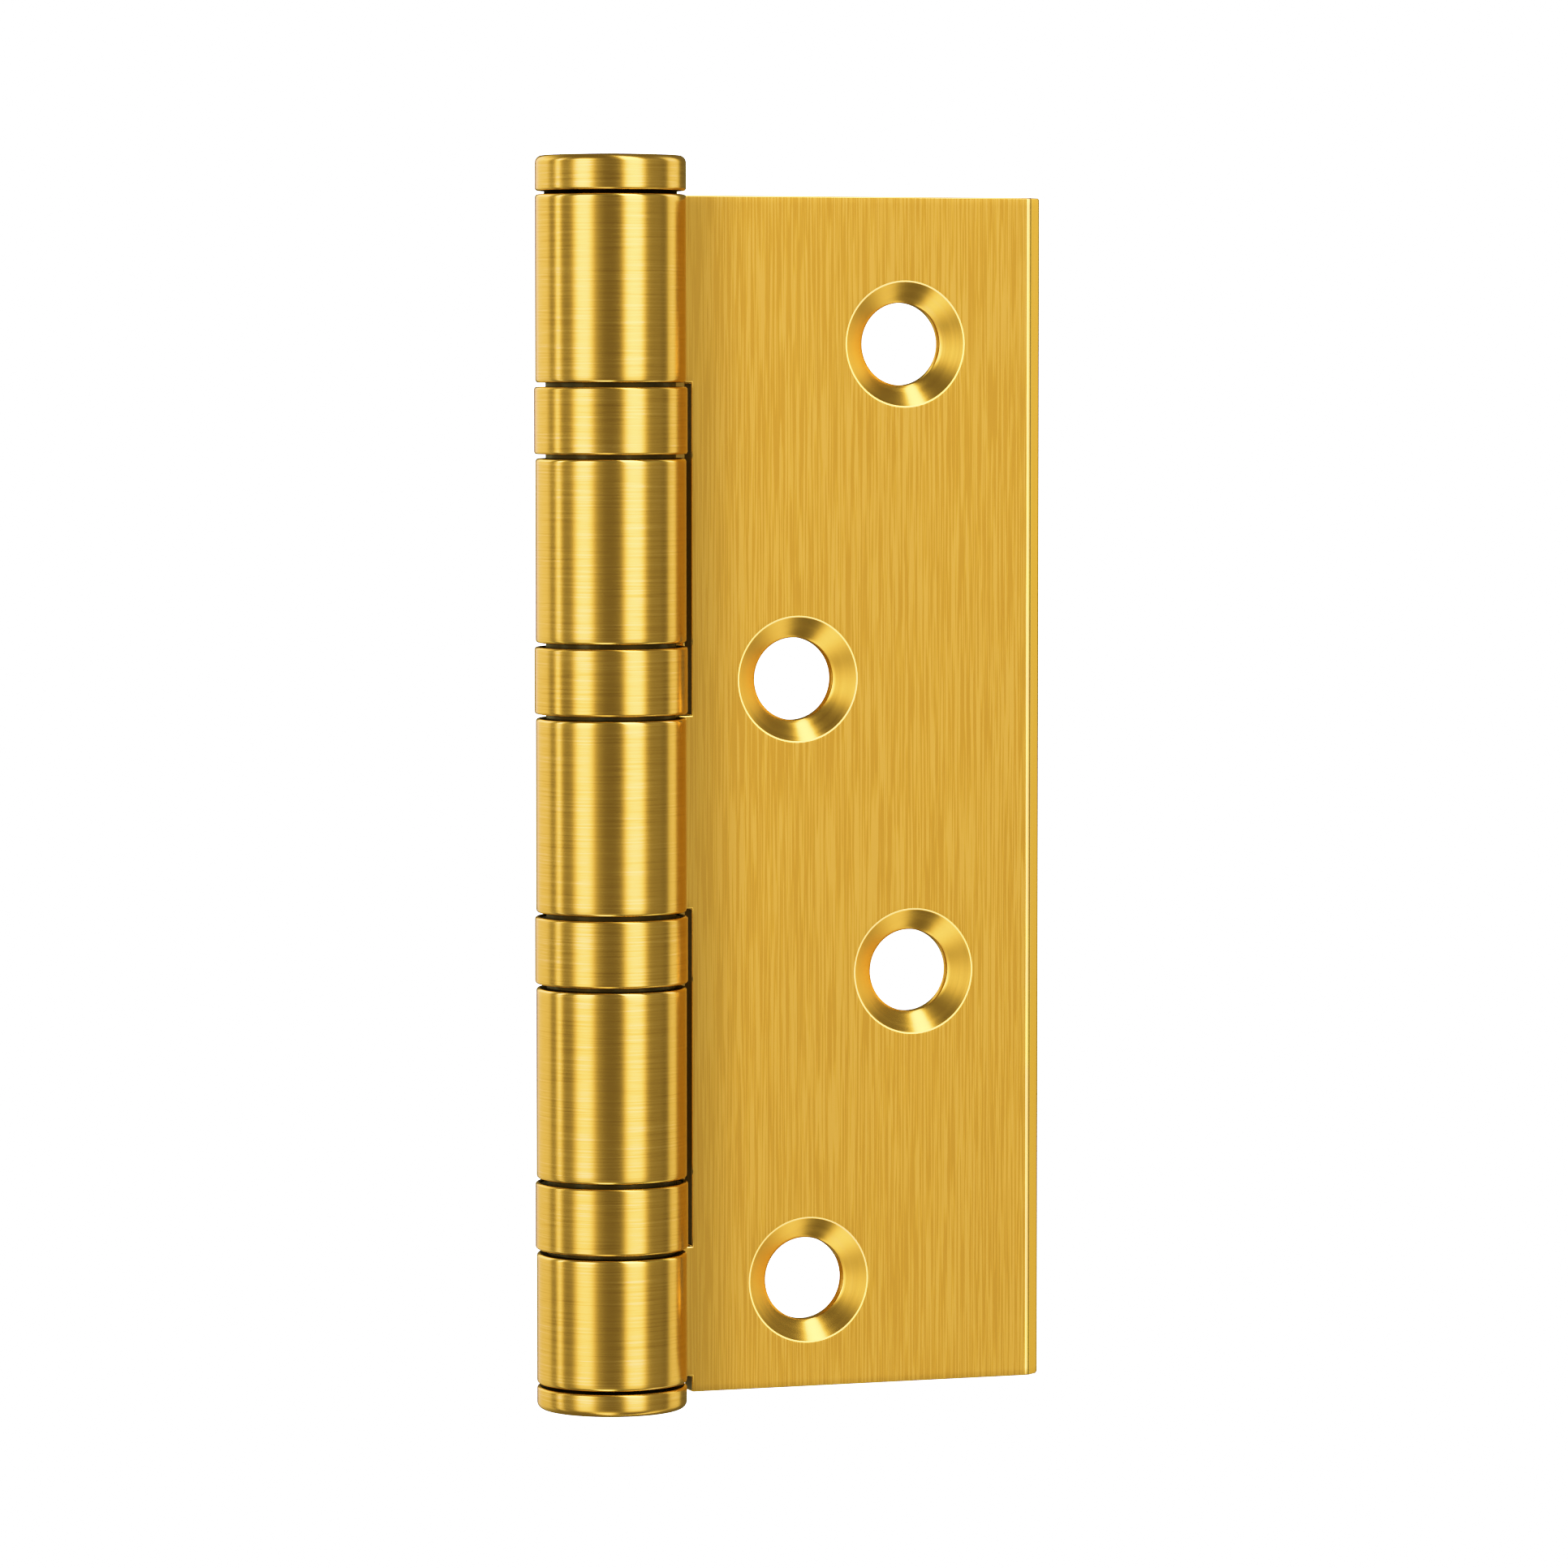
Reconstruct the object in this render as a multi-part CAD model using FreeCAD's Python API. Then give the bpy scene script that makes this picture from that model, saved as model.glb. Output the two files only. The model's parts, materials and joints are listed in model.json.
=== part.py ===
"""Ball-bearing butt hinge: two curled sheet leaves, a fixed pin, two tips and four thrust bearings.

The shapes are drawn about the pin: its axis is the local Z axis, the fixed leaf runs along +X
and its countersunk face looks towards -Y. `export` then moves the whole hinge, so that its
origin is the middle of the fixed leaf's back face, the face that lies on the door frame.
The swing leaf is drawn shut and turned to the opening that the hinge rests at.
"""
import FreeCAD, Part
import math
import os

from FreeCAD import Vector

# ---- driving dimensions, in millimetres and degrees -------------------------------------
LEAF_HEIGHT = 100.0         # height of both leaves
SHEET = 2.0                 # sheet thickness
BARREL_R = 6.25             # outer radius of the curled knuckles
FACE_OFFSET = 1.0           # from the pin axis to a leaf's countersunk face, half the gap when shut
LEAF_REACH = 38.9           # from the pin axis to a leaf's free edge
EDGE_LAND = 0.38            # polished strip where the countersunk face ends, along the free edge
LAND_TILT = 4.0             # degrees
EDGE_BEVEL = 1.18           # bevel beside that strip
BEVEL_TILT = 39.5           # degrees
EDGE_ROUND = 0.9            # round from the bevel to the free edge
CORNER_R = 0.4              # the leaf's two outer corners
NOTCH_X = 7.4               # from the pin axis to a leaf's edge beside the other leaf's knuckles
NOTCH_CORNER_R = 0.5        # inside corners of those notches
BEND_R = 2.2                # mid-sheet radius of the bend between a leaf and its knuckles
SEAM_GAP = 0.15             # between the curl's end and the leaf's face
KNUCKLE_ROUND = 0.25        # broken outer edge at both ends of a knuckle
OPENING = 298.0             # angle that the leaves are opened to at rest; 0 is shut

HOLES = [(26.34, 37.68), (16.78, 9.65), (27.12, -15.16), (17.74, -40.98)]   # (from the pin, up)
HOLE_R = 3.45               # screw hole
SINK_R = 5.2                # countersink at the leaf's face
SINK_DEPTH = 1.15
RIM_BREAK = 0.12            # width of the broken edge round the countersink's mouth and floor
RIM_DEPTH = 0.05

BARREL_BOTTOM = -48.65      # underside of the lowest knuckle
BEARING_Z = [31.36, 9.87, -12.5, -34.63]    # middle of each bearing, from the top down
BEARING_HEIGHT = 6.24       # from the knuckle above to the knuckle below
SHELL_GAP = 0.34            # open groove between a bearing's shell and a knuckle
SHELL_R = 6.35
SHELL_WALL = 0.4
SHELL_ROUND = 0.25
RACE_NECK_R = 5.4           # where a race meets its knuckle
RACE_NECK = 0.5             # height of that neck
RACE_FACE = 0.4             # from the middle of the bearing to the face of a race
BALL_R = 0.6
BALL_PITCH_R = 5.07
BALL_COUNT = 18
BALL_PLAY = 0.03            # radial room between a ball and its groove
CAGE_HALF = 0.22            # half the cage's thickness
CAGE_INNER_R = 4.3
CAGE_OUTER_R = 5.85
POCKET_PLAY = 0.04

PIN_PLAY = 0.06             # radial running clearance of the pin in the knuckles
PIN_CHAMFER = 0.4
RUNNING_PLAY = 0.08         # radial room between a bearing's upper race and its shell
SPIGOT = 3.0                # length of a tip pressed into its knuckle
SPIGOT_CHAMFER = 0.3
TIP_R = 6.25
TIP_NECK_R = 5.5
TIP_ROUND = 0.6             # round rim of a tip's end face
TIP_INNER_ROUND = 0.25      # round rim of a tip beside its knuckle
TOP_TIP = (0.28, 3.3)       # groove under the top tip, and its end, above the top knuckle
BOTTOM_TIP = (0.24, 2.25)   # the same below the lowest knuckle

# ---- derived dimensions ------------------------------------------------------------------
UP = Vector(0, 0, 1)
HALF_HEIGHT = LEAF_HEIGHT / 2
BACK = FACE_OFFSET + SHEET                  # from the pin axis to a leaf's back face
BORE_R = BARREL_R - SHEET
PIN_R = BORE_R - PIN_PLAY
BARREL_TOP = HALF_HEIGHT
LEAF_MIDDLE = (NOTCH_X + LEAF_REACH) / 2    # middle of the back face, from the pin axis
ORIGIN = Vector(LEAF_MIDDLE, BACK, 0)
BIG = 200.0                                 # longer than anything on the hinge
CLEAR = 1.0                                 # how far a cutting tool stands out of its cut
PAST_LIP = 1.0                              # how far an edge round runs past the curl's end, degrees
HALF_ROUND = math.sqrt(0.5)                 # cosine and sine of half a quarter turn

# Knuckles from the top down, as (bottom, top): the bearings stand between them.
FACES = [BARREL_TOP]
for middle in BEARING_Z:
    FACES += [middle + BEARING_HEIGHT / 2, middle - BEARING_HEIGHT / 2]
FACES.append(BARREL_BOTTOM)
KNUCKLES = [(FACES[i + 1], FACES[i]) for i in range(0, len(FACES), 2)]


# ---- helpers -----------------------------------------------------------------------------
def polar(radius, angle):
    """Point at a radius and an angle in degrees about the pin."""
    turn = math.radians(angle)
    return Vector(radius * math.cos(turn), radius * math.sin(turn), 0)


def line(start, end):
    return Part.LineSegment(start, end).toShape()


def arc(start, middle, end):
    return Part.Arc(start, middle, end).toShape()


def turned(points):
    """Solid of revolution about Z from (radius, height) points and, where a point has a third
    value, a corner rounded with that radius."""
    edges = []
    cuts = []
    count = len(points)
    for index, point in enumerate(points):
        here = Vector(point[0], 0, point[1])
        round_r = point[2] if len(point) > 2 else 0.0
        before = points[index - 1]
        after = points[(index + 1) % count]
        back = (Vector(before[0], 0, before[1]) - here).normalize()
        ahead = (Vector(after[0], 0, after[1]) - here).normalize()
        if round_r:
            half = back.getAngle(ahead) / 2
            reach = round_r / math.tan(half)
            centre = here + (back + ahead).normalize() * (round_r / math.sin(half))
            nearest = centre + (here - centre).normalize() * round_r
            cuts.append((here + back * reach, nearest, here + ahead * reach))
        else:
            cuts.append((here, None, here))
    for index, (start, nearest, end) in enumerate(cuts):
        if nearest:
            edges.append(arc(start, nearest, end))
        edges.append(line(end, cuts[(index + 1) % count][0]))
    face = Part.Face(Part.Wire(edges))
    return face.revolve(Vector(0, 0, 0), UP, 360)


def tube(inner_r, outer_r, bottom, top):
    return turned([(inner_r, bottom), (outer_r, bottom), (outer_r, top), (inner_r, top)])


def box(x, y, z):
    """Box from three (low, high) spans."""
    return Part.makeBox(x[1] - x[0], y[1] - y[0], z[1] - z[0], Vector(x[0], y[0], z[0]))


def export(shape, node):
    """Move a shape from the pin axis to the hinge's own origin and write it."""
    shape = shape.copy()
    shape.translate(ORIGIN * -1)
    if not shape.isValid():
        raise ValueError(node + " is not a valid solid")
    shape.exportStep("parts/" + node + ".step")
    print(node, len(shape.Solids), "solid(s)", round(shape.Volume, 1), "mm3")


# ---- leaves ------------------------------------------------------------------------------
def free_edge():
    """Corners of the free edge's section: ends of the flat, the land and the bevel, then the
    middle and the end of the round, which is tangent to the bevel and to the edge face."""
    land = polar(EDGE_LAND, LAND_TILT)
    bevel = land + polar(EDGE_BEVEL, BEVEL_TILT)
    centre = bevel + polar(EDGE_ROUND, BEVEL_TILT + 90)
    middle = centre + polar(EDGE_ROUND, (BEVEL_TILT - 90) / 2)
    end = centre + polar(EDGE_ROUND, 0)
    start = Vector(LEAF_REACH - end.x, FACE_OFFSET, 0)
    return [start + corner for corner in (Vector(0, 0, 0), land, bevel, middle, end)]


def leaf_section():
    """Section of the fixed leaf across the pin: flat leaf, bend, and curl round the barrel.

    The bend's centre stands behind the leaf, and its arc is tangent to the leaf and to the curl.
    """
    middle_r = BARREL_R - SHEET / 2
    middle_y = FACE_OFFSET + SHEET / 2
    centre_y = middle_y + BEND_R
    centre_x = math.sqrt((middle_r + BEND_R) ** 2 - centre_y ** 2)
    centre = Vector(centre_x, centre_y, 0)
    meet = math.degrees(math.atan2(centre_y, centre_x))     # where the bend meets the curl
    lip_y = FACE_OFFSET - SEAM_GAP                          # the curl's end
    lip_outer = 360 + math.degrees(math.asin(lip_y / BARREL_R))
    lip_inner = 360 + math.degrees(math.asin(lip_y / BORE_R))
    half_bend = 270 - (90 - meet) / 2                       # middle of the bend, seen from its centre
    bend_back = BEND_R - SHEET / 2
    bend_face = BEND_R + SHEET / 2
    back_edge = Vector(LEAF_REACH, BACK, 0)
    outer_lip = polar(BARREL_R, lip_outer)
    inner_lip = polar(BORE_R, lip_inner)
    face_end, land_end, bevel_end, round_middle, round_end = free_edge()
    edges = [
        line(back_edge, Vector(centre_x, BACK, 0)),
        arc(Vector(centre_x, BACK, 0), centre + polar(bend_back, half_bend), polar(BARREL_R, meet)),
        arc(polar(BARREL_R, meet), polar(BARREL_R, (meet + lip_outer) / 2), outer_lip),
        line(outer_lip, inner_lip),
        arc(inner_lip, polar(BORE_R, (meet + lip_inner) / 2), polar(BORE_R, meet)),
        arc(polar(BORE_R, meet), centre + polar(bend_face, half_bend), Vector(centre_x, FACE_OFFSET, 0)),
        line(Vector(centre_x, FACE_OFFSET, 0), face_end),
        line(face_end, land_end),
        line(land_end, bevel_end),
        arc(bevel_end, round_middle, round_end),
        line(round_end, back_edge),
    ]
    return Part.Face(Part.Wire(edges)), meet, lip_outer


def screw_hole(x, z):
    """Tool for one countersunk hole, with both of its edges broken."""
    floor_r = HOLE_R + RIM_BREAK
    mouth_r = SINK_R + RIM_BREAK
    profile = [
        (0, -CLEAR), (mouth_r, -CLEAR), (mouth_r, 0), (SINK_R, RIM_DEPTH), (floor_r, SINK_DEPTH),
        (HOLE_R, SINK_DEPTH + RIM_BREAK), (HOLE_R, SHEET + CLEAR), (0, SHEET + CLEAR),
    ]
    tool = turned(profile)
    tool.rotate(Vector(0, 0, 0), Vector(1, 0, 0), -90)
    tool.translate(Vector(x, FACE_OFFSET, z))
    return tool


def edge_breaker(face_z, towards, start, end):
    """Tool that rounds a knuckle's outer edge at one end, from one angle to another.

    `towards` is +1 when the knuckle ends upwards at face_z and -1 when it ends downwards.
    """
    reach = KNUCKLE_ROUND
    inner = BARREL_R - reach
    low = face_z - towards * reach
    half = HALF_ROUND * reach
    outside = BARREL_R + CLEAR
    beyond = face_z + towards * CLEAR
    round_start = Vector(inner, 0, face_z)
    round_middle = Vector(inner + half, 0, low + towards * half)
    round_end = Vector(BARREL_R, 0, low)
    edges = [
        arc(round_start, round_middle, round_end),
        line(round_end, Vector(outside, 0, low)),
        line(Vector(outside, 0, low), Vector(outside, 0, beyond)),
        line(Vector(outside, 0, beyond), Vector(inner, 0, beyond)),
        line(Vector(inner, 0, beyond), round_start),
    ]
    tool = Part.Face(Part.Wire(edges)).revolve(Vector(0, 0, 0), UP, end - start)
    tool.rotate(Vector(0, 0, 0), UP, start)
    return tool


def notch(bottom, top, inner_top, inner_bottom):
    """Tool that clears one stretch of the barrel side, with round inside corners."""
    tool = box((-BIG, NOTCH_X), (-BIG, BIG), (bottom, top))
    r = NOTCH_CORNER_R
    for wanted, z, side in ((inner_bottom, bottom, 1), (inner_top, top, -1)):
        if not wanted:
            continue
        spans = sorted((z - side * CLEAR, z + side * r))
        corner = box((NOTCH_X - r, NOTCH_X + CLEAR), (-BIG, BIG), spans)
        foot = Vector(NOTCH_X - r, -BIG, z + side * r)
        round_part = Part.makeCylinder(r, 2 * BIG, foot, Vector(0, 1, 0))
        tool = tool.cut(corner).fuse(round_part.common(corner))
    return tool.removeSplitter()


def corner_breaker(side):
    """Tool that rounds the leaf's outer corner at the top (+1) or the bottom (-1)."""
    x = LEAF_REACH - CORNER_R
    z = side * (HALF_HEIGHT - CORNER_R)
    spans = sorted((z, side * (HALF_HEIGHT + CLEAR)))
    block = box((x, LEAF_REACH + CLEAR), (-BIG, BIG), spans)
    round_part = Part.makeCylinder(CORNER_R, 2 * BIG, Vector(x, -BIG, z), Vector(0, 1, 0))
    return block.cut(round_part)


def leaf(knuckles):
    """Leaf in the fixed leaf's place, that keeps the given knuckles."""
    section, meet, lip = leaf_section()
    body = section.extrude(UP * LEAF_HEIGHT)
    body.translate(UP * -HALF_HEIGHT)
    bounds = [HALF_HEIGHT + CLEAR]
    for bottom, top in knuckles:
        bounds += [top, bottom]
    bounds.append(-HALF_HEIGHT - CLEAR)
    for index in range(0, len(bounds), 2):
        top, bottom = bounds[index], bounds[index + 1]
        if min(top, HALF_HEIGHT) > bottom:
            body = body.cut(notch(bottom, top, top < HALF_HEIGHT, bottom > -HALF_HEIGHT))
    for bottom, top in knuckles:
        body = body.cut(edge_breaker(bottom, -1, meet, lip + PAST_LIP))
        body = body.cut(edge_breaker(top, 1, meet, lip + PAST_LIP))
    for side in (1, -1):
        body = body.cut(corner_breaker(side))
    for x, z in HOLES:
        body = body.cut(screw_hole(x, z))
    return body


def swing_leaf():
    """The other leaf: the fixed leaf's mirror image, shut, then opened to its resting place."""
    shut = leaf(KNUCKLES[1::2]).mirror(Vector(0, 0, 0), Vector(0, 1, 0))
    shut.rotate(Vector(0, 0, 0), UP, -OPENING)
    return shut


# ---- pin and tips ------------------------------------------------------------------------
def hinge_pin():
    """Plain pin, trapped end to end between the two tips' spigots."""
    bottom = BARREL_BOTTOM + SPIGOT
    top = BARREL_TOP - SPIGOT
    narrow = PIN_R - PIN_CHAMFER
    return turned([
        (0, bottom), (narrow, bottom), (PIN_R, bottom + PIN_CHAMFER),
        (PIN_R, top - PIN_CHAMFER), (narrow, top), (0, top),
    ])


def tip(seat, side, groove, end):
    """Button tip at one end of the barrel: spigot, neck and round-rimmed head."""
    def at(height):
        return seat + side * height

    return turned([
        (0, at(-SPIGOT)), (BORE_R - SPIGOT_CHAMFER, at(-SPIGOT)), (BORE_R, at(SPIGOT_CHAMFER - SPIGOT)),
        (BORE_R, at(0)), (TIP_NECK_R, at(0)), (TIP_NECK_R, at(groove)),
        (TIP_R, at(groove), TIP_INNER_ROUND), (TIP_R, at(end), TIP_ROUND), (0, at(end)),
    ])


# ---- bearings ----------------------------------------------------------------------------
def ball_groove():
    """Ring-shaped tool that cuts both races' ball grooves, about the bearing's middle."""
    return Part.makeTorus(BALL_PITCH_R, BALL_R + BALL_PLAY)


def race(side, outer_r):
    """Hardened race above (+1) or below (-1) the balls, necked where it meets its knuckle."""
    end = BEARING_HEIGHT / 2
    blank = turned([
        (BORE_R, side * RACE_FACE), (outer_r, side * RACE_FACE), (outer_r, side * (end - RACE_NECK)),
        (RACE_NECK_R, side * (end - RACE_NECK)), (RACE_NECK_R, side * end), (BORE_R, side * end),
    ])
    return blank.cut(ball_groove())


def shell():
    """Outer sleeve of a bearing, pressed over the lower race."""
    half = BEARING_HEIGHT / 2 - SHELL_GAP
    inner = SHELL_R - SHELL_WALL
    return turned([
        (inner, -half), (SHELL_R, -half, SHELL_ROUND), (SHELL_R, half, SHELL_ROUND), (inner, half),
    ])


def ball_places():
    return [polar(BALL_PITCH_R, 360.0 * index / BALL_COUNT) for index in range(BALL_COUNT)]


def balls():
    return Part.makeCompound([Part.makeSphere(BALL_R, place) for place in ball_places()])


def cage():
    """Flat ring that spaces the balls, with one round pocket for each."""
    ring = tube(CAGE_INNER_R, CAGE_OUTER_R, -CAGE_HALF, CAGE_HALF)
    for place in ball_places():
        pocket = Part.makeCylinder(BALL_R + POCKET_PLAY, 2 * BALL_R, place - UP * BALL_R)
        ring = ring.cut(pocket)
    return ring


def main():
    os.makedirs("parts", exist_ok=True)
    export(leaf(KNUCKLES[0::2]), "fixed_leaf")
    export(swing_leaf(), "swing_leaf")
    export(hinge_pin(), "hinge_pin")
    export(tip(BARREL_TOP, 1, *TOP_TIP), "top_tip")
    export(tip(BARREL_BOTTOM, -1, *BOTTOM_TIP), "bottom_tip")
    inner_shell_r = SHELL_R - SHELL_WALL
    for number, middle in enumerate(BEARING_Z, start=1):
        pieces = {
            "shell": shell(),
            "upper_race": race(1, inner_shell_r - RUNNING_PLAY),
            "lower_race": race(-1, inner_shell_r),
            "balls": balls(),
            "cage": cage(),
        }
        for name, piece in pieces.items():
            piece.translate(UP * middle)
            export(piece, "bearing_%d_%s" % (number, name))


main()
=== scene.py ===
"""Looks of a ball-bearing butt hinge: brushed gold leaves, turned rings and tips, steel inside.

The leaves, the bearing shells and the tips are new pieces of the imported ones' size, with smooth
rounds and the grain of the brushing. The pin and the bearings' inner parts only get a finish.

Lengths are in metres in the frame. Sections are drawn in millimetres about the pin: there the pin
is the Z axis, the leaf runs along +X, its countersunk face looks towards -Y, and `Place` carries
the drawing into the frame.
"""

import json
import logging
import math
from dataclasses import dataclass
from enum import Enum

import bpy
import numpy as np
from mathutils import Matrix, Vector


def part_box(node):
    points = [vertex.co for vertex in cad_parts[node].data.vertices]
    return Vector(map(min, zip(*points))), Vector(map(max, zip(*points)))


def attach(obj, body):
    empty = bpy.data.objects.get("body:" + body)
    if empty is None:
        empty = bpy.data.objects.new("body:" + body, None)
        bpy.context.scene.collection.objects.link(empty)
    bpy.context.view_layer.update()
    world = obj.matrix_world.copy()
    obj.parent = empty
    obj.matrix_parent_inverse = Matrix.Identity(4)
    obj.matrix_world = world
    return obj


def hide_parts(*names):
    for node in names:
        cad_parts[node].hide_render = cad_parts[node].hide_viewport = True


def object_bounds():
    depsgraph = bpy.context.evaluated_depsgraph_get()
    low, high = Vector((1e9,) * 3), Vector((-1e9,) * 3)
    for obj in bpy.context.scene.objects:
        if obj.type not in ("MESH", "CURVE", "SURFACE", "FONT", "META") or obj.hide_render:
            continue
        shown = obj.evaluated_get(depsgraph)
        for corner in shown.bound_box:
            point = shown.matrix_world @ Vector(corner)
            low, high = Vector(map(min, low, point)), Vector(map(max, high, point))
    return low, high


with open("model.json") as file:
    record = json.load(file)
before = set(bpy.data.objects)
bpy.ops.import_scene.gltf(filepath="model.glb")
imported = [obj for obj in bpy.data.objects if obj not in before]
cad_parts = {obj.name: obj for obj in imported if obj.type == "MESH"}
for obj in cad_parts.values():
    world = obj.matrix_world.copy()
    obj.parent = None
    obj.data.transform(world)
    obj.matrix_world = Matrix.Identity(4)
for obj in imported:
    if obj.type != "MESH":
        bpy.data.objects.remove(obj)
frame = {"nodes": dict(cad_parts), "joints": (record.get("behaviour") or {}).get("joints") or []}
cad_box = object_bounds()

logging.basicConfig(level=logging.INFO, format="%(name)s: %(message)s")
log = logging.getLogger("hinge")

Array = np.ndarray
Piece = bpy.types.Object
Material = bpy.types.Material
Socket = bpy.types.NodeSocket
Pair = tuple[float, float]
Colour = tuple[float, float, float]
MM = 0.001
GRAIN = "grain"  # corner attribute: two lengths along the brushing and one across it, in mm


# ---- shader expressions ----
class Num:
    """A number that varies over a surface: one output socket whose arithmetic adds Math nodes."""

    def __init__(self, graph: "Graph", socket: Socket) -> None:
        """Wrap a socket of a graph."""
        self.graph = graph
        self.socket = socket

    def join(self, operation: str, first: "Num | float", second: "Num | float") -> "Num":
        """Join two numbers by one Math node."""
        made = self.graph.node("ShaderNodeMath", {"operation": operation}, {0: first, 1: second})
        return Num(self.graph, made.outputs[0])

    def __add__(self, other: "Num | float") -> "Num":
        """self + other."""
        return self.join("ADD", self, other)

    def __sub__(self, other: "Num | float") -> "Num":
        """self - other."""
        return self.join("SUBTRACT", self, other)

    def __rsub__(self, other: float) -> "Num":
        """other - self."""
        return self.join("SUBTRACT", other, self)

    def __mul__(self, other: "Num | float") -> "Num":
        """self * other."""
        return self.join("MULTIPLY", self, other)

    __radd__ = __add__
    __rmul__ = __mul__

    def between(self, low: float, high: float) -> "Num":
        """0 below low, 1 above high, and a smooth step between them."""
        made = self.graph.node("ShaderNodeMapRange", {"interpolation_type": "SMOOTHSTEP"},
                               {"Value": self, "From Min": low, "From Max": high})
        return Num(self.graph, made.outputs["Result"])

    def window(self, low: float, high: float, soft: float) -> "Num":
        """1 between two limits, 0 outside them, and at each a smooth step of a width."""
        half = soft / 2
        return self.between(low - half, low + half) * (1.0 - self.between(high - half, high + half))


class Graph:
    """The node tree of one material, or of the studio's light tent."""

    def __init__(self, name: str, tent: bool = False) -> None:
        """Start an empty tree.

        Args:
            name: the material's or the world's name.
            tent: whether the tree belongs to the world.
        """
        self.owner = (bpy.data.worlds if tent else bpy.data.materials).new(name)
        self.owner.use_nodes = True
        self.tree = self.owner.node_tree
        self.tree.nodes.clear()

    def node(self, kind: str, settings: dict, sockets: dict) -> bpy.types.Node:
        """Add one node.

        Args:
            kind: the node's type.
            settings: properties, set first.
            sockets: value or link of each input, by name or number.

        Returns:
            The new node.
        """
        made = self.tree.nodes.new(kind)
        for key, value in settings.items():
            setattr(made, key, value)
        for key, value in sockets.items():
            source = value.socket if isinstance(value, Num) else value
            socket = made.inputs[key]
            if isinstance(source, Socket):
                self.tree.links.new(source, socket)
            else:
                socket.default_value = (*source, 1.0) if socket.type == "RGBA" else source
        return made

    def scaled(self, vector: Socket, scale: Colour) -> Socket:
        """A vector times a scale, one factor for each axis."""
        made = self.node("ShaderNodeVectorMath", {"operation": "MULTIPLY"}, {0: vector, 1: scale})
        return made.outputs[0]

    def noise(self, vector: Socket, scale: float, detail: float) -> Num:
        """Fractal noise from 0 to 1 at a scale per unit of the vector."""
        made = self.node("ShaderNodeTexNoise", {}, {"Vector": vector, "Scale": scale, "Detail": detail})
        return Num(self, made.outputs["Fac"])

    def place(self) -> Socket:
        """Place on the piece: its own coordinates, in metres."""
        return self.node("ShaderNodeTexCoord", {}, {}).outputs["Object"]

    def mix(self, share: "Num | float", first: object, second: object) -> Socket:
        """Blend two colours, or their sockets: the share, 0 to 1, is how much of the second."""
        return self.node("ShaderNodeMix", {"data_type": "RGBA"}, {0: share, 6: first, 7: second}).outputs[2]

    def finish(self, colour: object, roughness: "Num | float", height: Num, bump: float, depth: float,
               fixed: dict) -> Material:
        """Close the graph with a metal shader.

        Args:
            colour: the metal's colour, or its socket.
            roughness: the roughness over the surface.
            height: relief, from 0 to 1.
            bump: strength of the relief.
            depth: depth of the relief, in metres.
            fixed: sockets that hold one value all over.

        Returns:
            The finished material.
        """
        relief = self.node("ShaderNodeBump", {}, {"Height": height, "Strength": bump, "Distance": depth})
        shader = self.node(
            "ShaderNodeBsdfPrincipled", {},
            {"Base Color": colour, "Roughness": roughness, "Normal": relief.outputs[0], "Metallic": 1.0, **fixed},
        )
        self.node("ShaderNodeOutputMaterial", {}, {"Surface": shader.outputs[0]})
        return self.owner


# ---- finishes ----
GOLD: Colour = (0.87, 0.52, 0.12)
GOLD_DEEP: Colour = (0.76, 0.43, 0.09)
GOLD_PALE: Colour = (0.95, 0.60, 0.19)
PAINTED_SHADE_GOLD: Colour = (0.30, 0.165, 0.03)  # painted shade of the leaf's coat beside the knuckles, where the barrel shades it
LACQUER = {"Coat Roughness": 0.2, "Coat IOR": 1.6, "Specular Tint": (1.0, 0.85, 0.45)}


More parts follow.
